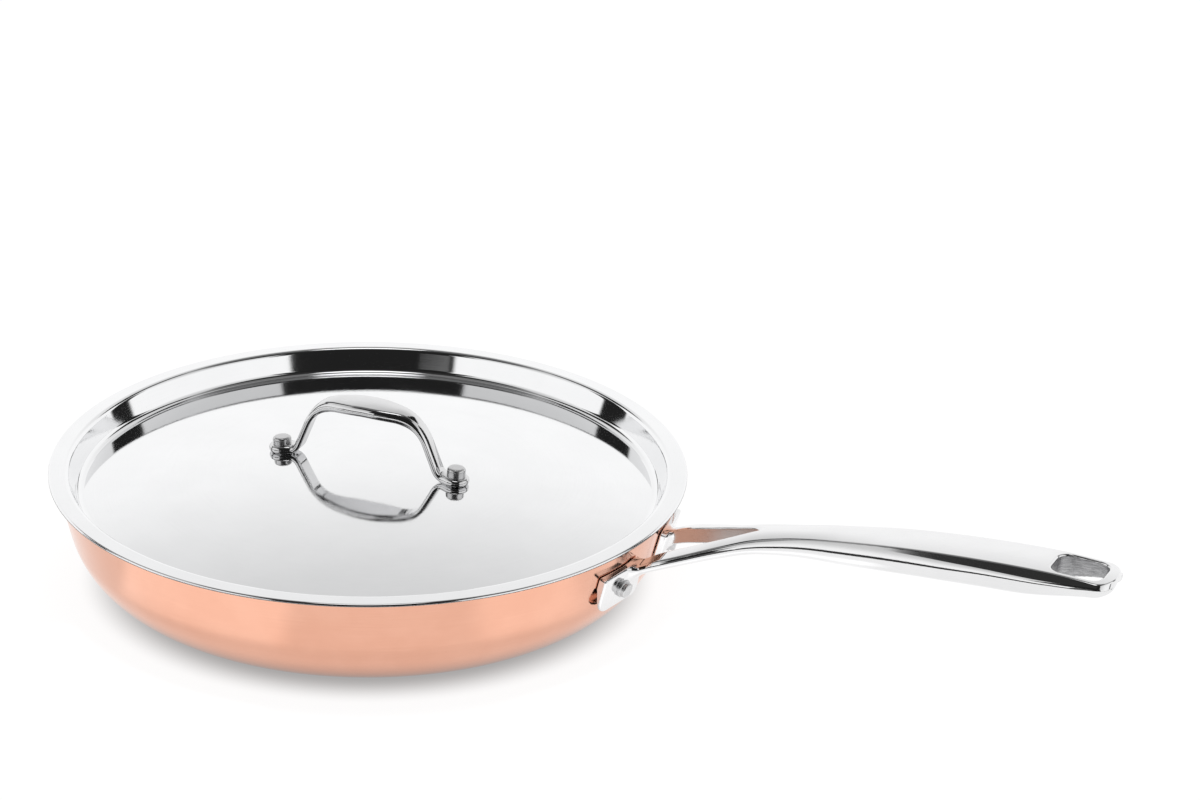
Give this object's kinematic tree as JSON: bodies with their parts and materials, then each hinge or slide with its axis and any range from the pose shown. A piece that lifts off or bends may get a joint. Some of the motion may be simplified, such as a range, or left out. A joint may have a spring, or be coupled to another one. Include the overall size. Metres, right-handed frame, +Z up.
{
  "type": "frying pan with lid",
  "caption": "Low copper-clad frying pan with a long forged fork handle and a polished domed steel lid that lifts off.",
  "frame": {"origin": "centre of the flat underside of the base disc", "axes": "+X along the pan handle towards its tip, +Z up"},
  "size_m": [0.5023, 0.2906, 0.0857],
  "materials": {
    "copper": "polished copper",
    "core_aluminium": "cut edge, satin",
    "liner_steel": "circular brushed",
    "disc_steel": "dull magnetic steel",
    "handle_steel": "mirror-polished stainless steel",
    "rivet_steel": "satin stainless steel",
    "lid_steel": "mirror-polished stainless steel",
    "lid_handle_steel": "mirror-polished stainless steel"
  },
  "bodies": {
    "pan": {"copper_shell": "copper", "aluminium_core": "core_aluminium", "steel_liner": "liner_steel", "base_disc": "disc_steel", "pan_handle": "handle_steel", "handle_rivet_near": "rivet_steel", "handle_rivet_far": "rivet_steel"},
    "lid": {"lid_shell": "lid_steel", "lid_handle": "lid_handle_steel", "lid_rivet_left": "rivet_steel", "lid_rivet_right": "rivet_steel"}
  },
  "joints": [
    {"name": "lid_lift", "type": "slide", "parent": "pan", "child": "lid", "axis": [0, 0, 1], "range_m": [0, 0.12]}
  ]
}
